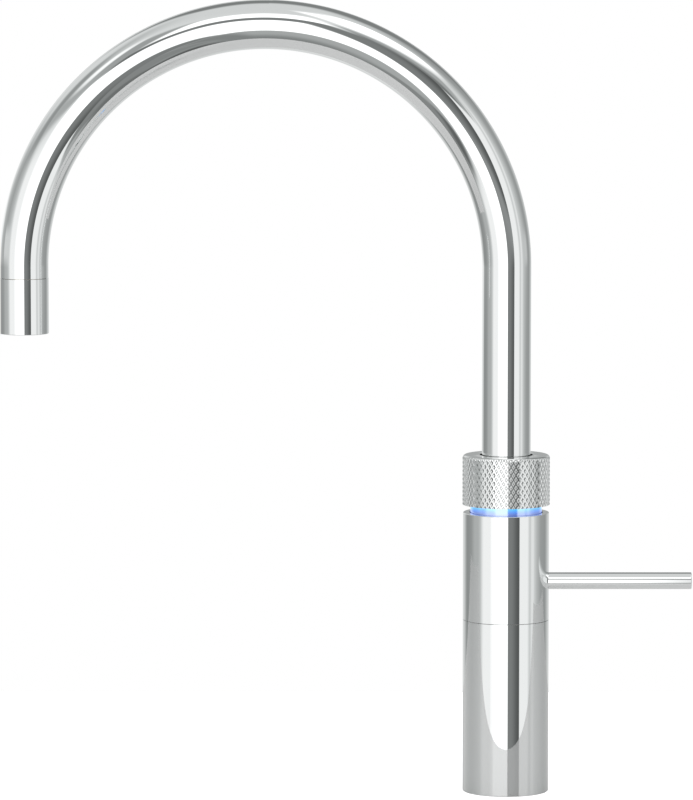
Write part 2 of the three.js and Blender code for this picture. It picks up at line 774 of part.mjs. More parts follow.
/** Plug in the outlet: a ring of jets round the nozzle of the boiling water pipe. */
function outletInsert() {
  const nozzle = { r: 3.6, bore: 2.4, low: OUTLET_LOW_Z + 0.3 };
  const jets = 8;
  const [low, high] = INSERT_Z;
  const plug = revolve([
    [nozzle.bore, nozzle.low], [nozzle.r, nozzle.low], [nozzle.r, low],
    [NECK_BORE_R - 0.1, low], [NECK_BORE_R - 0.1, high], [nozzle.bore, high],
  ]);
  const holes = Array.from({ length: jets }, (_, i) => {
    const angle = (2 * Math.PI * i) / jets;
    return bar(0.9, [low - 1, high + 1], 6, [7 * Math.cos(angle), 7 * Math.sin(angle)]);
  });
  return carve(plug, { cut: holes });
}

function outletGasket() {
  return ring([8.4, NECK_BORE_R - 0.1], [INSERT_Z[1] + GAP, INSERT_Z[1] + 1.7], SMALL);
}

function outletCoupling() {
  return ring([8.8, NECK_BORE_R - GAP], [INSERT_Z[1] + 2.1, ARCH_Z - 1.4], SMALL);
}

// ---------------------------------------------------------------- assembly

const washerTop = -WORKTOP;
const steelTop = washerTop - RUBBER_WASHER - GAP;
const nutTop = steelTop - STEEL_WASHER - GAP;

const inlets = Object.entries(INLET_ANGLES).map(([name, angle]) => {
  const fitting = piece(name, inletFitting(), BRASS);
  const [x, y] = inletPlace(angle);
  fitting.position.set(x, y, 0);
  return fitting;
});

const fixed = body(
  piece('base_shell', baseShell(), CHROME),
  piece('base_gasket', baseGasket(), RUBBER),
  piece('threaded_shank', threadedShank(), BRASS),
  piece('fixing_washer_rubber', washer(washerTop, RUBBER_WASHER), RUBBER),
  piece('fixing_washer_steel', washer(steelTop, STEEL_WASHER), STEEL),
  piece('fixing_nut', fixingNut(nutTop), BRASS),
  ...inlets,
  piece('valve_block', valveBlock(), BRASS),
  piece('valve_cover', ring([DISC_R[0], BLOCK_R], COVER_Z), BRASS),
  piece('fixed_disc', fixedDisc(), CERAMIC),
  piece('inner_frame', innerFrame(), BRASS),
  piece('glide_ring_lower', ring(GLIDE_R, GLIDE_RINGS[0]), ACETAL),
  piece('glide_ring_upper', ring(GLIDE_R, GLIDE_RINGS[1]), ACETAL),
  piece('light_board', lightBoard(), BOARD),
  piece('light_ring', lightRing(), LIGHT),
  piece('riser_column', riserColumn(), BRASS),
  piece('neck_o_ring_lower', oRing(RING_GROOVES[0]), RUBBER),
  piece('neck_o_ring_upper', oRing(RING_GROOVES[1]), RUBBER),
  piece('neck_clip', spoutClip(), STEEL),
  piece('boiling_riser', boilingRiser(), STEEL),
  piece('boiling_pipe_seal', boilingSeal(), RUBBER),
  piece('boiling_valve_spring', valveSpring(), STEEL),
);
fixed.getObjectByName('boiling_valve_spring').position.x = STEM_X;

const neck = body(
  piece('swan_neck', swanNeck(), CHROME),
  piece('outlet_coupling', outletCoupling(), BRASS),
  piece('outlet_cap', outletCap(), CHROME),
  piece('outlet_insert', outletInsert(), ACETAL),
  piece('outlet_gasket', outletGasket(), RUBBER),
  piece('boiling_pipe', boilingPipe(), STEEL),
  piece('neck_bush_lower', spoutBush(BUSHES[0]), ACETAL),
  piece('neck_bush_upper', spoutBush(BUSHES[1]), ACETAL),
);
const onOutletAxis = ['outlet_coupling', 'outlet_cap', 'outlet_insert', 'outlet_gasket'];
onOutletAxis.forEach((name) => { neck.getObjectByName(name).position.x = OUTLET_X; });

const drive = body(
  piece('drive_sleeve', driveSleeve(), ACETAL),
  piece('cam_ring', camRing(), ACETAL),
  piece('knob_spring', knobSpring(), STEEL),
);

const knob = body(piece('control_knob', controlKnob(), CHROME));

const stem = body(
  piece('boiling_valve_stem', valveStem(), STEEL),
  piece('stem_seal', stemSeal(), RUBBER),
);
stem.position.x = STEM_X;

const leverPin = piece('lever_pin', crossPin(PIN_R, PIN_HALF_LENGTH), STEEL);
leverPin.position.set(LEVER_PIVOT_X, 0, LEVER_Z);

const lever = body(piece('lever_rod', leverRod(), CHROME));
lever.position.set(LEVER_PIVOT_X, 0, LEVER_Z);

const mixer = body(
  piece('mixer_sleeve', mixerSleeve(), CHROME),
  piece('moving_disc', movingDisc(), CERAMIC),
  leverPin,
);
mixer.add(lever, body(piece('flow_collar', flowCollar(), BRASS)));

const tap = new THREE.Group();
tap.add(fixed, neck, drive, knob, stem, mixer);

export default tap;
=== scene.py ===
"""Looks of a boiling water tap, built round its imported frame.

The code works in millimetres, in the frame's axes: the origin is the centre of the base on the
worktop, +Z is up, the spout reaches over -X and the lever points along +X. Meshes are in metres.
"""

import json
import math

import bpy
import numpy as np
from mathutils import Euler, Matrix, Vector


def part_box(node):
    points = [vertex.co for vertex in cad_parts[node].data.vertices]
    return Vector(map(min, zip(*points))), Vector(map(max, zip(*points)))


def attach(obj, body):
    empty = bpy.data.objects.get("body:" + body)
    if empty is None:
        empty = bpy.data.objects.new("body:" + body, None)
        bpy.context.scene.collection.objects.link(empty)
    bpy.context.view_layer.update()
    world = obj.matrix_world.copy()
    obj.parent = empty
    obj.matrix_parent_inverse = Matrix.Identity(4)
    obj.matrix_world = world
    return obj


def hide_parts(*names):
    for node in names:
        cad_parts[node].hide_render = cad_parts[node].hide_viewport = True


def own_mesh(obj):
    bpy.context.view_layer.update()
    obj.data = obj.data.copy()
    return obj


MM = 0.001
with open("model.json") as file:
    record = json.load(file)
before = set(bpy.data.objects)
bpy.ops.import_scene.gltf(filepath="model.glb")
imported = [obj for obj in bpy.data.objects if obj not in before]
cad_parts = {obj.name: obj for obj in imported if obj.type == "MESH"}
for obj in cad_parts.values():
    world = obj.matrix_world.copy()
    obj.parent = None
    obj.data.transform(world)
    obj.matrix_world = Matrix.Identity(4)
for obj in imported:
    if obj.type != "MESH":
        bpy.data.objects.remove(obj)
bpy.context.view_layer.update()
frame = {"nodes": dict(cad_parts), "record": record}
BODY_OF = {
    node: body
    for body, nodes in frame["record"]["behaviour"]["bodies"].items()
    for node in nodes
}
SLOT_OF = {part["node"]: part["material_slot"] for part in frame["record"]["subparts"]}


def extent(node):
    """Lowest and highest corner of a node, in millimetres."""
    low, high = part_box(node)
    return np.array(low) / MM, np.array(high) / MM


# ------------------------------------------------------------------ sizes taken from the frame

_, BASE_HIGH = extent("base_shell")
SLEEVE_LOW, SLEEVE_HIGH = extent("mixer_sleeve")
KNOB_LOW, KNOB_HIGH = extent("control_knob")
RING_LOW, RING_HIGH = extent("light_ring")
NECK_LOW, NECK_HIGH = extent("swan_neck")
CAP_LOW, CAP_HIGH = extent("outlet_cap")
LEVER_LOW, LEVER_HIGH = extent("lever_rod")
SHANK_LOW, SHANK_HIGH = extent("threaded_shank")

BODY_R = BASE_HIGH[0]
BODY_WALL = 2
RING_WALL = 1.4
BODY_BORE_R = BODY_R - BODY_WALL
NECK_R = NECK_HIGH[0]
ARCH_R = (NECK_R - NECK_LOW[0]) / 2 - NECK_R
ARCH_Z = NECK_HIGH[2] - NECK_R - ARCH_R
OUTLET_X = -2 * ARCH_R
LEVER_R = LEVER_HIGH[1]
LEVER_Z = (LEVER_LOW[2] + LEVER_HIGH[2]) / 2
SHANK_R = SHANK_HIGH[0]
SHANK_BORE_R = 13.2
SHANK_HOLE_R = SHANK_R + 0.4  # of the holes that the shank goes through
GAP = 0.3
SEAM = 0.3  # open joint line between visible shells
SEAM_CLOSE = 0.07  # how far each side of a joint line closes in on the other
NECK_END_Z = CAP_HIGH[2] + SEAM - SEAM_CLOSE


# ------------------------------------------------------------------ camera

CAMERA_PLACE = (-0.07421, -2.53, 0.438)  # metres
CAMERA_PITCH = 5.7521  # degrees below level
CAMERA_LENS = 246.51  # millimetres
CAMERA_REACH = 50  # metres


def make_camera():
    """Stands where the photograph was taken from: in front, and a little above the tap."""
    camera = bpy.data.cameras.new("camera")
    camera.lens = CAMERA_LENS
    camera.clip_end = CAMERA_REACH
    holder = bpy.data.objects.new("camera", camera)
    holder.location = CAMERA_PLACE
    holder.rotation_euler = Euler((math.radians(90 - CAMERA_PITCH), 0, 0))
    bpy.context.scene.collection.objects.link(holder)
    bpy.context.scene.camera = holder


# ------------------------------------------------------------------ node trees

WHITE = (1, 1, 1, 1)


class Tree:
    """Adds shader nodes and links, and returns their outputs."""

    def __init__(self, tree):
        self.tree = tree
        tree.nodes.clear()

    def new(self, kind, inputs=None, **settings):
        """A node whose inputs, by name or number, are linked to a socket or set to a value."""
        node = self.tree.nodes.new("ShaderNode" + kind)
        for name, value in settings.items():
            setattr(node, name, value)
        for key, value in (inputs or {}).items():
            if isinstance(value, bpy.types.NodeSocket):
                self.tree.links.new(value, node.inputs[key])
            else:
                node.inputs[key].default_value = value
        return node

    def add(self, kind, inputs=None, output=0, **settings):
        """One output of a new node."""
        return self.new(kind, inputs, **settings).outputs[output]

    def finish(self, surface, kind="OutputMaterial"):
        """Ends the tree in its output node."""
        self.new(kind, {"Surface": surface})

    def split(self, vector):
        """The three parts of a vector."""
        return self.new("SeparateXYZ", {0: vector}).outputs

    def ray(self, kind):
        """1 for rays of this kind, such as Is Camera Ray, and 0 for others."""
        return self.add("LightPath", output=kind)

    def math(self, operation, a, b=0.0, clamp=False):
        return self.add("Math", {0: a, 1: b}, operation=operation, use_clamp=clamp)

    def ramp_between(self, value, low, high, start=0.0, end=1.0, kind="SMOOTHSTEP"):
        """start below low, end above high, and smooth or straight in between."""
        sockets = {"Value": value, "From Min": low, "From Max": high, "To Min": start, "To Max": end}
        return self.add("MapRange", sockets, interpolation_type=kind)

    def mix(self, factor, a, b):
        """a where the factor is 0, and b where it is 1."""
        return self.add("Mix", {0: factor, 2: a, 3: b})

    def mix_color(self, factor, a, b):
        """The same for colours."""
        return self.add("Mix", {0: factor, 6: a, 7: b}, output=2, data_type="RGBA")

    def color_ramp(self, factor, stops):
        """The colour at this place between stops, each given as a place and a colour."""
        ramp = self.new("ValToRGB", {0: factor})
        elements = ramp.color_ramp.elements
        while len(elements) < len(stops):
            elements.new(0.5)
        for element, (place, color) in zip(elements, stops):
            element.position = place
            element.color = (*color, 1)
        return ramp.outputs[0]


def new_material(name):
    material = bpy.data.materials.new(name)
    material.use_nodes = True
    return material, Tree(material.node_tree)


# ------------------------------------------------------------------ studio
# Azimuths and elevations are in degrees. Azimuth 0 is in front of the tap and + to its right,
# and elevation 0 is level. A grey level, 0 to 255, is what polished chrome shows of a panel.

CHROME_REFLECTS = 0.93


def grey(level):
    """Radiance that polished chrome shows as this display level."""
    value = level / 255
    linear = ((value + 0.055) / 1.055) ** 2.4
    return linear / CHROME_REFLECTS


LAMP = 1.43  # radiance of the soft box in front
WINDOW = 1.5  # radiance of the bright lights overhead
SIDE_WINDOW = 1.1  # radiance of the one far to the left
OVERHEAD = 209
OVERHEAD_FROM, OVERHEAD_TO = 40, 75  # elevations between which the walls turn into it

# The walls' grey all the way round: azimuth, grey level.
WALLS = [
    (-180, 205), (-165, 218), (-148, 218), (-125, 176), (-105, 158), (-85, 180), (-70, 211),
    (-60, 222), (60, 205), (75, 210), (95, 182), (115, 154), (128, 150), (150, 190), (160, 200),
    (180, 205),
]
# The same below the horizon, beyond the pale sheet that the tap stands on.
LOW_WALLS = [
    (-180, 215), (-156, 212), (-142, 181), (-132, 142), (-124, 140), (-108, 148), (-95, 172),
    (-82, 174), (-70, 200), (70, 222), (77, 215), (90, 181), (105, 154), (128, 147), (142, 186),
    (156, 209), (180, 215),
]
LOW_LIMITS, LOW_SOFT = (-34, -4), 3
# Each panel: azimuths, elevations, grey level, softness of its edges across and up.
PANELS = [
    ((-190, -150), (26, 62), 124, (16, 16)),
    ((134, 190), (20, 60), 126, (18, 16)),
    ((-150, -112), (23, 50), 213, (20, 16)),
    ((-104, -81), (22, 48), 147, (14, 10)),
    ((-54, -24), (27, 54), 156, (10, 8)),
    ((-82, -40), (26, 37), 168, (12, 8)),
    ((12, 64), (27, 43), 164, (8, 6)),
    ((14, 48), (25, 35), 120, (8, 8)),
    ((-200, -139), (-5, 3.5), 240, (14, 4)),
    ((-107, -58), (-3, 4), 206, (8, 4)),
    ((88, 112), (-3.5, 3), 192, (16, 4)),
    ((-200, -168), (2, 14), 165, (10, 6)),
    ((168, 200), (2, 14), 165, (10, 6)),
]
# Each light: the same, with its radiance for the grey level.
LIGHTS = [
    ((-73, -56), (39, 54), SIDE_WINDOW, (12, 10)),
    ((23, 90), (47, 74), WINDOW, (14, 12)),
    ((-25, 13), (33, 53), WINDOW, (10, 8)),
]
# The sheet round the tap's foot, with its grey by elevation, and the worktop beyond it.
NEAR_FLOOR, NEAR_FLOOR_SOFT = ((-84, 84), (-89, -25)), (6, 6)
NEAR_FLOOR_GREYS = ((-62, 130), (-38, 166))
FLOOR_BEYOND = [
    ((-84, -38), (-72, -25), 132, (8, 12)),
    ((-62, -36), (-34, -24), 98, (10, 6)),
    ((3, 12), (-72, -30), 130, (5, 4)),
    ((12, 52), (-50, -27), 132, (4, 6)),
    ((38, 70), (-68, -38), 110, (12, 10)),
    ((20, 56), (-70, -54), 90, (12, 8)),
]
# The dim gap between the soft box and the lights overhead.
GAP_OVER_SOFT_BOX = [
    ((-30, -11), (25, 33), 108, (6, 4)),
    ((-14, 12), (19, 34.5), 122, (6, 4)),
]
# Pale wings beside the soft box: those on the left stand behind it.
LEFT_WINGS = [
    ((-69, -30), (-22.5, 19), 240, (13, 12)),
    ((-43, -30), (-17, 21), 254, (2, 5)),
]
RIGHT_WINGS = [
    ((59, 79), (-27, 34), 224, (4, 9)),
    ((63, 69.5), (-27, 34), 203, (5, 4)),
    ((34, 59.8), (-28, 27), 237, (3, 3)),
]
SOFT_BOX, SOFT_BOX_SOFT = ((-36, 5), (-26.5, 22)), (6, 4)
SOFT_BOX_LEAN = 0.12
# The dark flag right of the soft box, with its grey by azimuth and a faint glow on it.
FLAG, FLAG_SOFT = ((3.8, 35.2), (-29, 30)), (2, 3)
FLAG_GREYS = ((11, 123), (33, 86))
FLAG_GLOW = ((4.1, 34.8), (-3, 3), 140, (2, 5))
DIM_TINT = (0.95, 1, 0.99, 1)  # cast of the darkest reflections


class Surround(Tree):
    """Light by direction: each panel is laid over what is behind it."""

    def __init__(self, tree):
        super().__init__(tree)
        x, y, z = self.split(self.add("TexCoord", output="Generated"))
        to_degrees = 180 / math.pi
        angle = self.math("ARCTAN2", x, self.math("MULTIPLY", y, -1.0))
        self.azimuth = self.math("MULTIPLY", angle, to_degrees)
        self.elevation = self.math("MULTIPLY", self.math("ARCSINE", z), to_degrees)

    def band(self, value, limits, soft):
        """1 between the limits and 0 outside them, with soft edges."""
        low, high = limits
        rise = self.ramp_between(value, low - soft / 2, low + soft / 2)
        fall = self.ramp_between(value, high - soft / 2, high + soft / 2, 1.0, 0.0)
        return self.math("MULTIPLY", rise, fall)

    def walls(self, levels):
        """Grey all the way round."""
        turn = self.math("ADD", self.math("MULTIPLY", self.azimuth, 1 / 360), 0.5)
        return self.color_ramp(turn, [(a / 360 + 0.5, (grey(level),) * 3) for a, level in levels])

    def grey_between(self, value, ends):
        """Grey that runs smoothly between two ends, each given as a value and a level."""
        (low, start), (high, end) = ends
        return self.ramp_between(value, low, high, grey(start), grey(end))

    def panel(self, behind, azimuths, elevations, radiance, soft, lean=0.0):
        """One panel over what is behind it; lean is how far it drops per degree of azimuth."""
        height = self.elevation
        if lean:
            height = self.math("ADD", height, self.math("MULTIPLY", self.azimuth, lean))
        across = self.band(self.azimuth, azimuths, soft[0])
        up = self.band(height, elevations, soft[1])
        return self.mix(self.math("MULTIPLY", across, up), behind, radiance)

    def grey_panels(self, behind, panels):
        for azimuths, elevations, level, soft in panels:
            behind = self.panel(behind, azimuths, elevations, grey(level), soft)
        return behind


def studio_light(tree):
    """What the gloss sees: grey walls, lights, the sheet round the foot, soft box and flag."""
    overhead = tree.ramp_between(tree.elevation, OVERHEAD_FROM, OVERHEAD_TO)
    light = tree.mix(overhead, tree.walls(WALLS), grey(OVERHEAD))
    low = tree.band(tree.elevation, LOW_LIMITS, LOW_SOFT)
    light = tree.grey_panels(tree.mix(low, light, tree.walls(LOW_WALLS)), PANELS)
    for azimuths, elevations, radiance, soft in LIGHTS:
        light = tree.panel(light, azimuths, elevations, radiance, soft)
    near_floor = tree.grey_between(tree.elevation, NEAR_FLOOR_GREYS)
    light = tree.panel(light, *NEAR_FLOOR, near_floor, NEAR_FLOOR_SOFT)
    light = tree.grey_panels(light, FLOOR_BEYOND + GAP_OVER_SOFT_BOX + LEFT_WINGS)
    light = tree.panel(light, *SOFT_BOX, LAMP, SOFT_BOX_SOFT, SOFT_BOX_LEAN)
    light = tree.grey_panels(light, RIGHT_WINGS)
    flag = tree.grey_between(tree.azimuth, FLAG_GREYS)
    light = tree.panel(light, *FLAG, flag, FLAG_SOFT)
    return tree.grey_panels(light, [FLAG_GLOW])


def make_world():
    """A plain white surround for colours and the background, and the studio for the gloss."""
    world = bpy.data.worlds.new("studio")
    bpy.context.scene.world = world
    world.use_nodes = True
    tree = Surround(world.node_tree)
    plain = tree.math("MAXIMUM", tree.ray("Is Camera Ray"), tree.ray("Is Diffuse Ray"))
    plain = tree.math("MAXIMUM", plain, tree.ray("Is Transmission Ray"))
    strength = tree.mix(plain, studio_light(tree), 1.0)
    cool = tree.mix_color(tree.math("MINIMUM", strength, 1.0), DIM_TINT, WHITE)
    background = tree.add("Background", {"Color": cool, "Strength": strength})
    tree.finish(background, "OutputWorld")


# ------------------------------------------------------------------ floor

FLOOR_LEFT, FLOOR_RIGHT = -0.83, 0.655  # metres
FLOOR_FRONT, FLOOR_BACK = -0.155, 0.297
FLOOR_MATT = (0.63, 0.63, 0.63, 1)
FLOOR_GLOSS = (0.73, 0.73, 0.73, 1)
FLOOR_ROUGHNESS = 0.12
FLOOR_IOR = 1.5
FLOOR_SHINE = 1.13  # how much stronger the gloss is than that index gives
FLOOR_LIFT = 0.9  # glow that only the camera sees, which brings the sheet close to white


def floor_material():
    """Matt and glossy, lifted towards white for the camera alone, and clear from below."""
    material, tree = new_material("floor")
    matt = tree.add("BsdfDiffuse", {"Color": FLOOR_MATT})
    gloss = tree.add("BsdfAnisotropic", {"Color": FLOOR_GLOSS, "Roughness": FLOOR_ROUGHNESS})
    shine = tree.math("MULTIPLY", tree.add("Fresnel", {"IOR": FLOOR_IOR}), FLOOR_SHINE, clamp=True)
    sheet = tree.add("MixShader", {0: shine, 1: matt, 2: gloss})
    lift = tree.add("Emission", {"Color": WHITE, "Strength": FLOOR_LIFT})
    nothing = tree.add("Emission", {"Strength": 0.0})
    seen = tree.add("MixShader", {0: tree.ray("Is Camera Ray"), 1: nothing, 2: lift})
    lit = tree.add("AddShader", {0: sheet, 1: seen})
    from_below = tree.add("NewGeometry", output="Backfacing")
    clear = tree.add("BsdfTransparent")
    tree.finish(tree.add("MixShader", {0: from_below, 1: lit, 2: clear}))
    return material


def make_floor():
    """Pale glossy sheet on the worktop; it ends just in front of the tap."""
    mesh = bpy.data.meshes.new("floor")
    corners = [
        (FLOOR_LEFT, FLOOR_FRONT, 0), (FLOOR_RIGHT, FLOOR_FRONT, 0),
        (FLOOR_RIGHT, FLOOR_BACK, 0), (FLOOR_LEFT, FLOOR_BACK, 0),
    ]
    mesh.from_pydata(corners, [], [(0, 1, 2, 3)])
    mesh.materials.append(floor_material())
    floor = bpy.data.objects.new("floor", mesh)
    bpy.context.scene.collection.objects.link(floor)


# ------------------------------------------------------------------ finishes

PATCH_LOW, PATCH_HIGH = 0.3, 0.7  # the noise between which a finish changes
HAZE_LOW, HAZE_HIGH = 0.35, 0.75  # the same for the plating's haze
HAZE = 1.6  # how much rougher the plating is where it is hazy
BORE_SHADE_COLOR = (0.04, 0.04, 0.04, 1)  # painted shade inside a bore
# roughness of the bore's painted shade
BORE_ROUGHNESS = 0.5
BORE_EDGE = 0.05  # softness of the painted shade's border at a bore
MACHINING = (300, 300, 4000)  # stretch of the fine lines left by a tool
LINE_DEPTH = 2e-5  # metres


def finish_material(tree, sockets):
    tree.finish(tree.add("BsdfPrincipled", sockets))


def noise(tree, scale, detail=3.0, stretch=(1, 1, 1)):
    """Even noise in object space, so that it is the same size on every piece."""
    place = tree.add("TexCoord", output="Object")
    scaled = tree.add("Mapping", {"Vector": place, "Scale": stretch})
    return tree.add("TexNoise", {"Vector": scaled, "Scale": scale, "Detail": detail})


def patches(tree, dark, light, scale, detail=3.0):
    """Colour that drifts between two tones."""
    return tree.color_ramp(noise(tree, scale, detail), [(PATCH_LOW, dark), (PATCH_HIGH, light)])


def fine_bump(tree, height, distance, strength):
    return tree.add("Bump", {"Height": height, "Distance": distance, "Strength": strength})


def within(tree, radius):
    """1 nearer to the Z axis than this radius and 0 beyond it."""
    place = tree.add("TexCoord", output="Object")
    flat = tree.add("VectorMath", {0: place, 1: (1, 1, 0)}, operation="MULTIPLY")
    out = tree.add("VectorMath", {0: flat}, output="Value", operation="LENGTH")
    return tree.ramp_between(out, (radius - BORE_EDGE) * MM, (radius + BORE_EDGE) * MM, 1.0, 0.0)


def chrome(name, roughness, bore=0.0):
    """Bright plating: a mirror with the faintest haze in patches, and painted shade inside a bore,
    which is dark and dull.

    The bore is a radius round the Z axis; inside it the colour is painted dark as shade.
    """
    material, tree = new_material(name)
    haze = noise(tree, scale=55, detail=4)
    tint = patches(tree, (0.91, 0.925, 0.923), (0.925, 0.937, 0.935), scale=18)
    rough = tree.ramp_between(haze, HAZE_LOW, HAZE_HIGH, roughness, roughness * HAZE)
    # painted shade: inside the bore the colour is darkened where shade falls
    if bore:
        inside = within(tree, bore)
        tint = tree.mix_color(inside, tint, BORE_SHADE_COLOR)
        rough = tree.mix(inside, rough, BORE_ROUGHNESS)
    finish_material(tree, {"Base Color": tint, "Metallic": 1.0, "Roughness": rough})
    return material


def machined(name, dark, light, roughness):
    """Turned or drawn metal: fine lines round the axis and slightly uneven tone."""
    material, tree = new_material(name)
    lines = noise(tree, scale=1.0, detail=2, stretch=MACHINING)
    rough = tree.ramp_between(lines, PATCH_LOW, PATCH_HIGH, roughness * 0.8, roughness * 1.25)
    finish_material(tree, {
        "Base Color": patches(tree, dark, light, scale=90, detail=4),
        "Metallic": 1.0,
        "Roughness": rough,
        "Normal": fine_bump(tree, lines, LINE_DEPTH, strength=0.4),
    })
    return material


def moulded(name, dark, light, roughness, grain, depth):
    """Plastic, rubber or ceramic with a fine skin."""
    material, tree = new_material(name)
    skin = noise(tree, scale=grain, detail=5)
    rough = tree.ramp_between(skin, PATCH_LOW, PATCH_HIGH, roughness * 0.85, roughness * 1.15)
    finish_material(tree, {
        "Base Color": patches(tree, dark, light, scale=70),
        "Roughness": rough,
        "Normal": fine_bump(tree, skin, depth, strength=0.5),
    })
    return material


# Colours of the lit ring from the sleeve's top up to the knob.
GLOW = [
    (0.0, (0.06, 0.11, 0.42)),
    (0.25, (0.065, 0.165, 0.62)),
    (0.5, (0.055, 0.26, 0.86)),
    (0.8, (0.05, 0.47, 0.95)),
    (1.0, (0.06, 0.54, 0.95)),
]
GLOW_CLOUD = 0.25  # how far the colours wander up and down, as a share of the height
RING_TINT = (0.52, 0.56, 0.6, 1)
RING_ROUGHNESS = 0.13


def lit_ring():
    """Mirror-bright clear ring that glows blue, deepest at its foot and cyan under the knob."""
    material, tree = new_material("lit_ring")
    _, _, z = tree.split(tree.add("TexCoord", output="Object"))
    low, high = SLEEVE_HIGH[2] * MM, KNOB_LOW[2] * MM
    height = tree.ramp_between(z, low, high, kind="LINEAR")
    uneven = tree.math("SUBTRACT", noise(tree, scale=260, detail=2), 0.5)
    cloud = tree.math("MULTIPLY", uneven, GLOW_CLOUD)
    glow = tree.color_ramp(tree.math("ADD", height, cloud), GLOW)
    finish_material(tree, {
        "Base Color": RING_TINT,
        "Metallic": 1.0,
        "Roughness": RING_ROUGHNESS,
        "Emission Color": glow,
        "Emission Strength": 1.0,
    })
    return material


FINISHES = {
    "chrome": chrome("polished_chrome", roughness=0.02),
    "brass": machined("machined_brass", (0.62, 0.47, 0.23), (0.72, 0.58, 0.31), roughness=0.3),
    "steel": machined("bright_steel", (0.56, 0.57, 0.58), (0.66, 0.67, 0.68), roughness=0.25),
    "rubber": moulded("black_rubber", (0.022, 0.022, 0.023), (0.035, 0.035, 0.036),
                      roughness=0.8, grain=900, depth=4e-5),
    "acetal": moulded("white_acetal", (0.8, 0.79, 0.75), (0.87, 0.86, 0.82),
                      roughness=0.42, grain=500, depth=1e-5),
    "ceramic": moulded("lapped_ceramic", (0.86, 0.83, 0.78), (0.92, 0.89, 0.84),
                       roughness=0.15, grain=700, depth=2e-6),
    "board": moulded("solder_mask", (0.04, 0.24, 0.11), (0.07, 0.31, 0.15),
                     roughness=0.35, grain=400, depth=5e-6),
    "light": lit_ring(),
}
# the knob's bore, round the neck, is painted dark as shade
KNURL_CHROME = chrome("knurled_chrome", roughness=0.07, bore=12.35)
# the sleeve's bore, beside the lit ring, is painted dark as shade
SLEEVE_CHROME = chrome("sleeve_chrome", roughness=0.02, bore=17.1)


# ------------------------------------------------------------------ outlines and turned shapes

TINY = 1e-6  # less than this counts as nothing
ARC_STEPS = 4  # of a rounded corner
STRAIGHT_ON = math.radians(5)  # a corner that turns less stays as it is
EDGE_SHARE = 0.45  # the most of a side that a rounded corner takes up


def corner_arc(point, before, after, radius, room):
    """A corner's places with their outward normals: an arc, or one place twice if sharp."""
    first, last = (np.array((way[1], -way[0])) for way in (before, after))
    cross = before[0] * after[1] - before[1] * after[0]
    bend = math.atan2(cross, before @ after)
    if point[0] < TINY or radius == 0 or abs(bend) < STRAIGHT_ON:
        return [(point, first), (point, last)]
    radius = min(radius, room / math.tan(abs(bend) / 2))
    start = point - before * radius * math.tan(abs(bend) / 2)
    side = 1 if bend > 0 else -1
    centre = start - side * radius * first
    arc = []
    for k in range(ARC_STEPS + 1):
        angle = bend * k / ARC_STEPS
        c, s = math.cos(angle), math.sin(angle)
        normal = np.array((c * first[0] - s * first[1], s * first[0] + c * first[1]))
        arc.append((centre + side * radius * normal, normal))
    return arc


def outline_spans(outline, edge):
    """Splits a closed [radius, height] outline, drawn anticlockwise, into short straight spans.

    Each corner off the axis is rounded by edge, or by its own third number. A span is its two
    ends, each with its place and its outward normal in the outline's plane.
    """
    points = [np.array(p[:2], float) for p in outline]
    rounds = [p[2] if len(p) > 2 else edge for p in outline]
    sides = [after - before for before, after in zip(points, points[1:] + points[:1])]
    lengths = [np.linalg.norm(side) for side in sides]
    ways = [side / length for side, length in zip(sides, lengths)]
    corners = []
    for i, point in enumerate(points):
        room = EDGE_SHARE * min(lengths[i - 1], lengths[i])
        corners.append(corner_arc(point, ways[i - 1], ways[i], rounds[i], room))
    spans = []
    for arc, following in zip(corners, corners[1:] + corners[:1]):
        if len(arc) > 2:
            spans += list(zip(arc[:-1], arc[1:]))
        start, end = arc[-1], following[0]
        if start[0][0] > TINY or end[0][0] > TINY:
            spans.append((start, end))
    return spans


def cut_spans(spans, heights):
    """Divides the spans at these heights, so that they can follow a curved path."""
    result = []
    for (p, n), (q, m) in spans:
        low, high = sorted((p[1], q[1]))
        inside = [h for h in heights if low + TINY < h < high - TINY]
        if p[1] > q[1]:
            inside = inside[::-1]
        stops = [(p, n)]
        for h in inside:
            t = (h - p[1]) / (q[1] - p[1])
            stops.append((p + t * (q - p), n + t * (m - n)))
        stops.append((q, m))
        result += list(zip(stops[:-1], stops[1:]))
    return result


def upright(x=0.0, y=0.0):
    """A path straight up: for each height, its point and two directions across it."""
    across, side = np.array((1.0, 0, 0)), np.array((0, 1.0, 0))
    return lambda s: (np.array((x, y, s)), across, side)


def along_x(z):
    """A path along +X at a height."""
    across, side = np.array((0, 1.0, 0)), np.array((0, 0, 1.0))
    return lambda s: (np.array((s, 0, z)), across, side)


def swan_path(s):
    """Up the neck, over the half circle and down to the outlet, by distance travelled."""
    lean = min(max((s - ARCH_Z) / ARCH_R, 0), math.pi)
    beyond = s - ARCH_Z - lean * ARCH_R
    outward = np.array((math.cos(lean), 0, math.sin(lean)))
    forward = np.array((-math.sin(lean), 0, math.cos(lean)))
    point = np.array((-ARCH_R, 0, ARCH_Z)) + ARCH_R * outward + beyond * forward
    return point, outward, np.array((0, 1.0, 0))


def helix(radius, low, high, turns, x=0.0):
    """A path that winds up round the Z axis; its parameter is the angle turned."""
    rise = (high - low) / (2 * math.pi * turns)

    def path(s):
        across = np.array((math.cos(s), math.sin(s), 0))
        forward = np.array((-radius * math.sin(s), radius * math.cos(s), rise))
        side = np.cross(forward / np.linalg.norm(forward), across)
        return np.array((x, 0, low + rise * s)) + radius * across, across, side
    return path


def new_object(name, points, faces, normals=None):
    """A smooth mesh from points in millimetres, with a normal for each face corner if given."""
    mesh = bpy.data.meshes.new(name)
    mesh.from_pydata((np.asarray(points) * MM).tolist(), [], faces)
    mesh.polygons.foreach_set("use_smooth", [True] * len(mesh.polygons))
    if normals is not None:
        mesh.normals_split_custom_set(np.asarray(normals).tolist())
    piece = bpy.data.objects.new(name, mesh)
    bpy.context.scene.collection.objects.link(piece)
    return piece


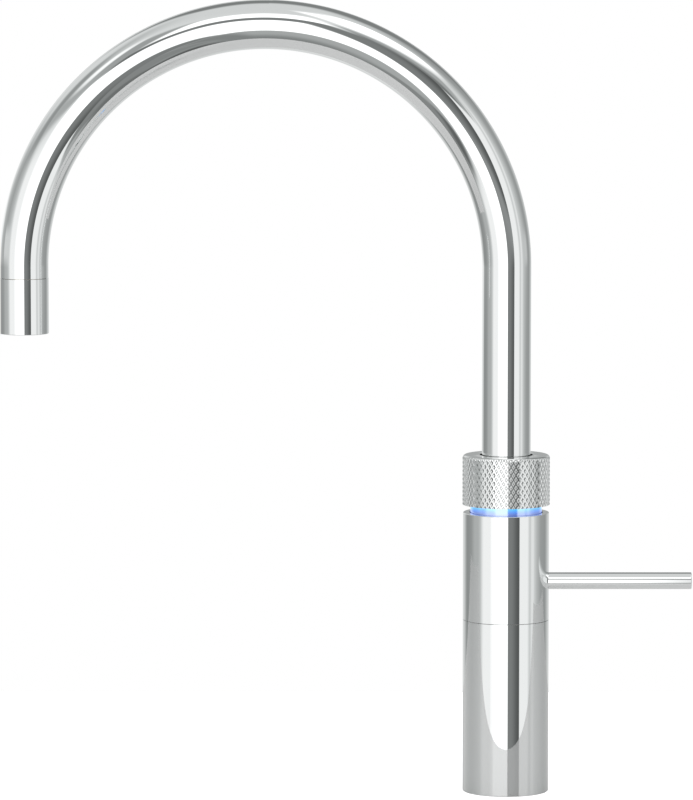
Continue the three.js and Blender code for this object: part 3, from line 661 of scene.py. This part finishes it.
def sweep(name, spans, path=upright(), segments=192):
    """Carries an outline's spans round a path, with the outline's exact normals."""
    angles = np.arange(segments) * 2 * math.pi / segments
    cosines, sines = np.cos(angles)[:, None], np.sin(angles)[:, None]
    points, rings = [], {}

    def ring(place):
        radius, s = place
        key = (round(radius, 5), round(s, 5))
        if key not in rings:
            origin, across, side = path(s)
            start = len(points)
            if radius < TINY:
                points.append(origin)
                rings[key] = [start] * segments
            else:
                points.extend(origin + radius * (cosines * across + sines * side))
                rings[key] = list(range(start, start + segments))
        return rings[key]

    def ring_normals(place, normal):
        _, across, side = path(place[1])
        forward = np.cross(across, side)
        return normal[0] * (cosines * across + sines * side) + normal[1] * forward

    faces, normals = [], []
    for (p, n), (q, m) in spans:
        a, b = ring(p), ring(q)
        na, nb = ring_normals(p, n), ring_normals(q, m)
        for j in range(segments):
            k = (j + 1) % segments
            if p[0] < TINY:
                faces.append((a[j], b[k], b[j]))
                normals += [na[j], nb[k], nb[j]]
            elif q[0] < TINY:
                faces.append((a[j], a[k], b[j]))
                normals += [na[j], na[k], nb[j]]
            else:
                faces.append((a[j], a[k], b[k], b[j]))
                normals += [na[j], na[k], nb[k], nb[j]]
    return new_object(name, points, faces, normals)


def joined(pieces):
    """Makes one object of several."""
    with bpy.context.temp_override(active_object=pieces[0], selected_editable_objects=pieces):
        bpy.ops.object.join()
    return pieces[0]


def turned(name, outline, edge, path=upright(), segments=192):
    """Carries an outline, with its corners rounded by edge, round a path."""
    return sweep(name, outline_spans(outline, edge), path, segments)


def stacked(name, rings, columns, sharp, diagonal=None):
    """A closed skin through rings of points, each given as a radius and a height per column.

    Edges that bend by more than sharp degrees stay sharp. diagonal(row, column) is true where a
    cell is split from its lower left corner, and None where it isn't split.
    """
    angles = np.arange(columns) * 2 * math.pi / columns
    points = []
    for radius, height in rings:
        radius = np.broadcast_to(radius, columns)
        height = np.broadcast_to(height, columns)
        points.append(np.stack([radius * np.cos(angles), radius * np.sin(angles), height], 1))
    faces = []
    count = len(rings)
    for row in range(count):
        low, high = row * columns, ((row + 1) % count) * columns
        for j in range(columns):
            k = (j + 1) % columns
            a, b, c, d = low + j, low + k, high + k, high + j
            split = diagonal(row, j) if diagonal else None
            if split is None:
                faces.append((a, b, c, d))
            elif split:
                faces += [(a, b, c), (a, c, d)]
            else:
                faces += [(a, b, d), (b, c, d)]
    piece = new_object(name, np.concatenate(points), faces)
    piece.data.set_sharp_from_angle(angle=math.radians(sharp))
    return piece


def cut_away(piece, cutter, spans):
    """Cuts one mesh from another, then gives the turned surfaces their exact normals back."""
    modifier = piece.modifiers.new("cut", "BOOLEAN")
    modifier.operation = "DIFFERENCE"
    modifier.solver = "EXACT"
    modifier.object = cutter
    evaluated = piece.evaluated_get(bpy.context.evaluated_depsgraph_get())
    mesh = bpy.data.meshes.new_from_object(evaluated)
    piece.modifiers.clear()
    piece.data = mesh
    mesh.name = piece.name
    bpy.data.objects.remove(cutter)
    outline_normals(mesh, spans)


def read(collection, name, kind, width=1):
    """One property of all of a mesh's vertices, faces or corners, as an array."""
    values = np.empty(len(collection) * width, kind)
    collection.foreach_get(name, values)
    return values.reshape(-1, width) if width > 1 else values


ON_OUTLINE = 0.02  # how near a corner is to the outline it was cut from
LIKE_OUTLINE = 0.8  # least cosine between such a face's own normal and the outline's


def outline_normals(mesh, spans):
    """Exact normals wherever a face lies on the turned outline; flat ones on the cuts."""
    corners = read(mesh.vertices, "co", float, 3)[read(mesh.loops, "vertex_index", int)] / MM
    flat = np.repeat(read(mesh.polygons, "normal", float, 3),
                     read(mesh.polygons, "loop_total", int), axis=0)
    radius = np.hypot(corners[:, 0], corners[:, 1])
    outward = corners * (1, 1, 0) / np.maximum(radius, 1e-9)[:, None]
    place = np.stack([radius, corners[:, 2]], 1)
    best, normals = np.full(len(place), LIKE_OUTLINE), flat.copy()
    for (p, n), (q, m) in spans:
        way = q - p
        t = np.clip((place - p) @ way / (way @ way), 0, 1)[:, None]
        normal = n + t * (m - n)
        candidate = outward * normal[:, :1] + normal[:, 1:] * (0, 0, 1)
        agreement = (candidate * flat).sum(1)
        near = np.linalg.norm(p + t * way - place, axis=1) < ON_OUTLINE
        better = near & (agreement > best)
        best[better], normals[better] = agreement[better], candidate[better]
    mesh.polygons.foreach_set("use_smooth", [True] * len(mesh.polygons))
    mesh.normals_split_custom_set(normals.tolist())


def dress(piece, node, material=None):
    """The piece takes the node's place, body and finish."""
    slot = SLOT_OF[node]
    piece.data.materials.clear()
    piece.data.materials.append(material or FINISHES[slot])
    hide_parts(node)
    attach(piece, BODY_OF[node])
    return piece


# ------------------------------------------------------------------ body

def base_shell():
    top, flange, bore = BASE_HIGH[2] + SEAM_CLOSE, 4.0, SHANK_HOLE_R
    rebate_r, rebate_z = 18.9, 1.2
    outline = [
        (rebate_r, 0), (BODY_R, 0, 0.3), (BODY_R, top, 0.06), (BODY_BORE_R, top, 0.1),
        (BODY_BORE_R, flange), (bore, flange), (bore, rebate_z), (rebate_r, rebate_z),
    ]
    dress(turned("base_shell_form", outline, edge=0.1), "base_shell")


def base_gasket():
    low, high = extent("base_gasket")
    inner = SHANK_HOLE_R + GAP
    outline = [(inner, low[2]), (high[0], low[2]), (high[0], high[2]), (inner, high[2])]
    dress(turned("base_gasket_form", outline, edge=0.15), "base_gasket")


def mixer_sleeve():
    low, high, flange = SLEEVE_LOW[2] - SEAM_CLOSE, SLEEVE_HIGH[2], 2.0
    bore = RING_HIGH[0] + GAP
    outline = [
        (BODY_BORE_R, low, 0.1), (BODY_R, low, 0.06), (BODY_R, high, 0.3), (bore, high, 0.15),
        (bore, high - flange), (BODY_BORE_R, high - flange),
    ]
    spans = outline_spans(outline, edge=0.1)
    sleeve = sweep("mixer_sleeve_form", spans)
    hole_r, start, end = LEVER_R + 0.5, 12, BODY_R + 2
    hole = [(0, start), (hole_r, start), (hole_r, end), (0, end)]
    drill = turned("drill", hole, 0, along_x(LEVER_Z), segments=64)
    cut_away(sleeve, drill, spans)
    dress(sleeve, "mixer_sleeve", SLEEVE_CHROME)


def lever_rod():
    tip, root, neck_r = LEVER_HIGH[0], 17.0, 1.4
    ball_r, steps = 2.2, 12
    ball_x = LEVER_LOW[0] + ball_r
    neck_turn = math.asin(neck_r / ball_r)
    ball = []
    for i in range(steps + 1):
        turn = (math.pi - neck_turn) * i / steps
        ball.append((ball_r * math.sin(turn), ball_x - ball_r * math.cos(turn), 0))
    outline = ball + [(neck_r, root, 0), (LEVER_R, root), (LEVER_R, tip, 0.35), (0, tip)]
    rod = turned("lever_rod_form", outline, 0.3, along_x(LEVER_Z), segments=96)
    dress(rod, "lever_rod")


def light_ring():
    low, high, outer = RING_LOW[2], RING_HIGH[2], RING_HIGH[0]
    inner = outer - RING_WALL
    outline = [(inner, low), (outer, low), (outer, high), (inner, high)]
    dress(turned("light_ring_form", outline, edge=0.3), "light_ring")


# ------------------------------------------------------------------ knurled knob

KNURL_COLUMNS = 55  # diamonds round the knob
KNURL_ROWS = 6  # diamonds over its height
KNURL_TOP = 0.15  # how far the flat tops lie inside the solid's points
KNURL_DEPTH = 0.36
FINENESS = 16  # mesh steps across one diamond
KNOB_COLUMNS = KNURL_COLUMNS * FINENESS
GROOVE_FLOOR = 1 / 8  # half width of a groove's flat floor, as a share of the pitch
GROOVE_SIDE = 3 / 8  # where its sloping side reaches the diamond's top
KNOB_RIM = 1.4  # radius of the rounded upper edge
RIM_STEPS = 8


def knurl_distances(u, v):
    """How far a place is from the nearest groove of each family, in pitches."""
    first = np.abs((u + v + 0.5) % 1 - 0.5)
    second = np.abs((u - v + 0.5) % 1 - 0.5)
    return first, second


def knurled_rings(low, high, outer):
    """Rings up the knurl and over the rim, and how many of them lie below the rim."""
    pitch = (high - low) / KNURL_ROWS
    levels = [(0.0, z) for z in np.arange(low, high - KNOB_RIM, pitch / FINENESS)]
    straight = len(levels)
    levels.append((0.0, high - KNOB_RIM))
    for angle in np.linspace(0, math.pi / 2, RIM_STEPS + 1)[1:]:
        levels.append((KNOB_RIM * (1 - math.cos(angle)), high - KNOB_RIM * (1 - math.sin(angle))))
    u = np.arange(KNOB_COLUMNS) / FINENESS
    rings = []
    for inset, z in levels:
        nearest = np.minimum(*knurl_distances(u, (z - low) / pitch))
        depth = np.clip((GROOVE_SIDE - nearest) / (GROOVE_SIDE - GROOVE_FLOOR), 0, 1)
        rings.append((np.minimum(outer - KNURL_DEPTH * depth, outer - inset), z))
    return rings, straight


def knob_bore_rings(low, high):
    """Rings down the stepped bore, with the six splines that key the knob to its sleeve."""
    bore, recess, spline, chamber = 12.1, 17.3, 14.5, 15.2
    recess_top, spline_top, chamber_top = 139.2, 145.0, 153.2
    edge, key_half = 0.2, 8.0
    angle = np.arange(KNOB_COLUMNS) * 360 / KNOB_COLUMNS
    beside_key = np.abs((angle + 30) % 60 - 30) <= key_half
    splined = np.where(beside_key, chamber, spline)
    return [
        (bore + edge, high), (bore + edge * 0.3, high - edge * 0.3), (bore, high - edge),
        (bore, chamber_top), (chamber, chamber_top), (chamber, spline_top), (splined, spline_top),
        (splined, recess_top), (recess, recess_top), (recess, low + edge), (recess + edge, low),
    ]


def control_knob():
    """Diamond knurl cut by two families of grooves, a rounded rim and the stepped bore."""
    low, high, outer = KNOB_LOW[2], KNOB_HIGH[2], KNOB_HIGH[0] - KNURL_TOP
    outside, straight = knurled_rings(low, high, outer)

    def split(row, column):
        """Which way a cell of the knurl is split, so that the edges follow the grooves."""
        if row >= straight:
            return None
        first, second = knurl_distances((column + 0.5) / FINENESS, (row + 0.5) / FINENESS)
        return bool(first > second)

    rings = outside + knob_bore_rings(low, high)
    knob = stacked("control_knob_form", rings, KNOB_COLUMNS, sharp=28, diagonal=split)
    dress(knob, "control_knob", KNURL_CHROME)


# ------------------------------------------------------------------ neck and outlet

def down_to(z):
    """How far along the neck's path its outlet side comes down to this height."""
    return ARCH_Z + math.pi * ARCH_R + (ARCH_Z - z)


def arch_bends(step):
    """Places along the path over the half circle, so many degrees apart."""
    return [ARCH_Z + math.radians(degree) * ARCH_R for degree in range(0, 181, step)]


def swan_neck():
    bore, groove, groove_low, groove_high = 10.1, 10.7, 134.7, 136.3
    start, end = NECK_LOW[2], down_to(NECK_END_Z)
    outline = [
        (bore, start), (NECK_R, start), (NECK_R, end, 0.06), (bore, end),
        (bore, groove_high, 0), (groove, groove_high, 0), (groove, groove_low, 0),
        (bore, groove_low, 0),
    ]
    spans = cut_spans(outline_spans(outline, edge=0.1), arch_bends(step=1))
    dress(sweep("swan_neck_form", spans, swan_path, segments=128), "swan_neck")


def boiling_pipe():
    outer, bore, start, end = 4.0, 3.0, 130.0, down_to(222.4)
    outline = [(bore, start), (outer, start), (outer, end), (bore, end)]
    spans = cut_spans(outline_spans(outline, edge=0.1), arch_bends(step=3))
    dress(sweep("boiling_pipe_form", spans, swan_path, segments=40), "boiling_pipe")


def outlet_cap():
    low, high, outer = CAP_LOW[2], CAP_HIGH[2] + SEAM_CLOSE, (CAP_HIGH[0] - CAP_LOW[0]) / 2
    bore, lip, lip_top = 10.4, 9.8, 215.0
    outline = [
        (lip, low, 0.15), (outer, low, 0.3), (outer, high, 0.06), (bore, high, 0.1),
        (bore, lip_top), (lip, lip_top),
    ]
    dress(turned("outlet_cap_form", outline, edge=0.1, path=upright(OUTLET_X)), "outlet_cap")


def outlet_insert():
    """Plug with a ring of jets round the boiling water's nozzle."""
    low, high = extent("outlet_insert")
    face, top, outer = 215.3, high[2], (high[0] - low[0]) / 2
    nozzle_r, nozzle_bore, jets, jet_r, pitch_r = 3.6, 2.4, 8, 0.9, 7.0
    outline = [
        (nozzle_bore, low[2]), (nozzle_r, low[2], 0.3), (nozzle_r, face), (outer, face),
        (outer, top), (nozzle_bore, top),
    ]
    spans = outline_spans(outline, edge=0.15)
    plug = sweep("outlet_insert_form", spans, segments=96)
    drills = []
    for angle in np.arange(jets) * 2 * math.pi / jets:
        hole = [(0, face - 1), (jet_r, face - 1), (jet_r, top + 1), (0, top + 1)]
        place = upright(pitch_r * math.cos(angle), pitch_r * math.sin(angle))
        drills.append(turned("drill", hole, 0, place, segments=24))
    cut_away(plug, joined(drills), spans)
    plug.data.transform(Matrix.Translation((OUTLET_X * MM, 0, 0)))
    dress(plug, "outlet_insert")


# ------------------------------------------------------------------ fixings

THREAD_PITCH = 1.5
THREAD_DEPTH = 0.85
THREAD_TOP = -1.0
THREAD_CREST, THREAD_FLANK = 0.12, 0.75  # as shares of the way from crest to root


def threaded_shank():
    """Brass shank with a fine thread below the base."""
    low, high = SHANK_LOW[2], SHANK_HIGH[2]
    per_turn, columns = 8, 96
    rows = int((THREAD_TOP - low) / THREAD_PITCH * per_turn)
    angle = np.arange(columns) / columns
    chamfer, relief = 0.4, 0.1
    rings = [(SHANK_BORE_R + chamfer, low), (SHANK_R - THREAD_DEPTH - 0.2, low)]
    for row in range(1, rows + 1):
        z = low + row * THREAD_PITCH / per_turn
        wave = np.abs((z / THREAD_PITCH - angle) % 1 - 0.5) * 2
        profile = np.clip((wave - THREAD_CREST) / THREAD_FLANK, 0, 1)
        start = min(row / per_turn, 1)
        rings.append((SHANK_R - THREAD_DEPTH * np.maximum(profile, 1 - start), z))
    rings += [
        (SHANK_R - THREAD_DEPTH, THREAD_TOP + 0.2), (SHANK_R - relief, THREAD_TOP + 0.6),
        (SHANK_R - relief, high), (SHANK_BORE_R, high), (SHANK_BORE_R, low + chamfer),
    ]
    dress(stacked("threaded_shank_form", rings, columns, sharp=60), "threaded_shank")


def washers():
    for node, edge in (("fixing_washer_rubber", 0.5), ("fixing_washer_steel", 0.25)):
        low, high = extent(node)
        bore, outer = SHANK_HOLE_R, high[0]
        outline = [(bore, low[2]), (outer, low[2]), (outer, high[2]), (bore, high[2])]
        dress(turned(node + "_form", outline, edge), node)


def fixing_nut():
    """Hexagon nut with its corners turned off at both ends."""
    low, high = extent("fixing_nut")
    corner, columns = high[0], 240
    flat = corner * math.cos(math.radians(30))
    bore, chamfer = SHANK_R + GAP, 0.8
    turned_r, slope = flat - 0.3, math.tan(math.radians(30))
    angle = np.arange(columns) * 360 / columns
    hexagon = flat / np.cos(np.radians(angle % 60 - 30))
    drop = (hexagon - turned_r) * slope
    rings = [
        (bore + chamfer, low[2]), (turned_r, low[2]), (hexagon, low[2] + drop),
        (hexagon, high[2] - drop), (turned_r, high[2]), (bore + chamfer, high[2]),
        (bore, high[2] - chamfer), (bore, low[2] + chamfer),
    ]
    dress(stacked("fixing_nut_form", rings, columns, sharp=20), "fixing_nut")


def inlets():
    """Hose nipples, with a groove for the hose's seal near the foot."""
    for node in ("cold_inlet", "hot_inlet", "boiling_inlet"):
        low, high = extent(node)
        x, y = (low[0] + high[0]) / 2, (low[1] + high[1]) / 2
        nipple, bore, shoulder = 3.2, 2.2, 1.4
        screw, foot, groove = (high[0] - low[0]) / 2, low[2], nipple - 0.5
        seal_groove = [(nipple, 2), (groove, 2.2), (groove, 3.8), (nipple, 4)]
        outline = [
            (bore, foot), (nipple, foot, 0.5), *((r, foot + z) for r, z in seal_groove),
            (nipple, shoulder), (screw, shoulder), (screw, high[2]), (bore, high[2]),
        ]
        nipple_form = turned(node + "_form", outline, 0.15, upright(x, y), segments=64)
        dress(nipple_form, node)


# ------------------------------------------------------------------ springs

# Each spring: its wire's radius, turns, joint, the joint's travel and the place of its axis in X.
SPRINGS = {
    "knob_spring": (0.6, 4, "knob_press", 3.0, 0.0),
    "boiling_valve_spring": (0.3, 4, "boiling_valve_lift", 2.1, -12.0),
}
STEPS_PER_TURN = 40


def springs():
    """Round wire coils wound between the ends of each spring's box."""
    for node, (wire, turns, joint, travel, x) in SPRINGS.items():
        low, high = extent(node)
        radius = high[1] - wire
        bottom, top = low[2] + wire, high[2] - wire
        end = 2 * math.pi * turns
        outline = [(0, 0), (wire, 0, 0), (wire, end, 0), (0, end)]
        stops = np.linspace(0, end, STEPS_PER_TURN * turns + 1)[1:-1]
        spans = cut_spans(outline_spans(outline, edge=0), list(stops))
        path = helix(radius, bottom, top, turns, x)
        coil = sweep(node + "_form", spans, path, segments=16)
        dress(coil, node)
        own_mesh(coil)


# ------------------------------------------------------------------ assembly

def inner_pieces():
    """Every solid gets the finish of its slot, and the pieces inside the tap keep it."""
    for node, piece in frame["nodes"].items():
        piece.data.materials.clear()
        piece.data.materials.append(FINISHES[SLOT_OF[node]])


make_camera()
make_world()
make_floor()
inner_pieces()
base_shell()
base_gasket()
mixer_sleeve()
lever_rod()
light_ring()
control_knob()
swan_neck()
boiling_pipe()
outlet_cap()
outlet_insert()
threaded_shank()
washers()
fixing_nut()
inlets()
springs()

bpy.context.scene.view_settings.view_transform = "Standard"
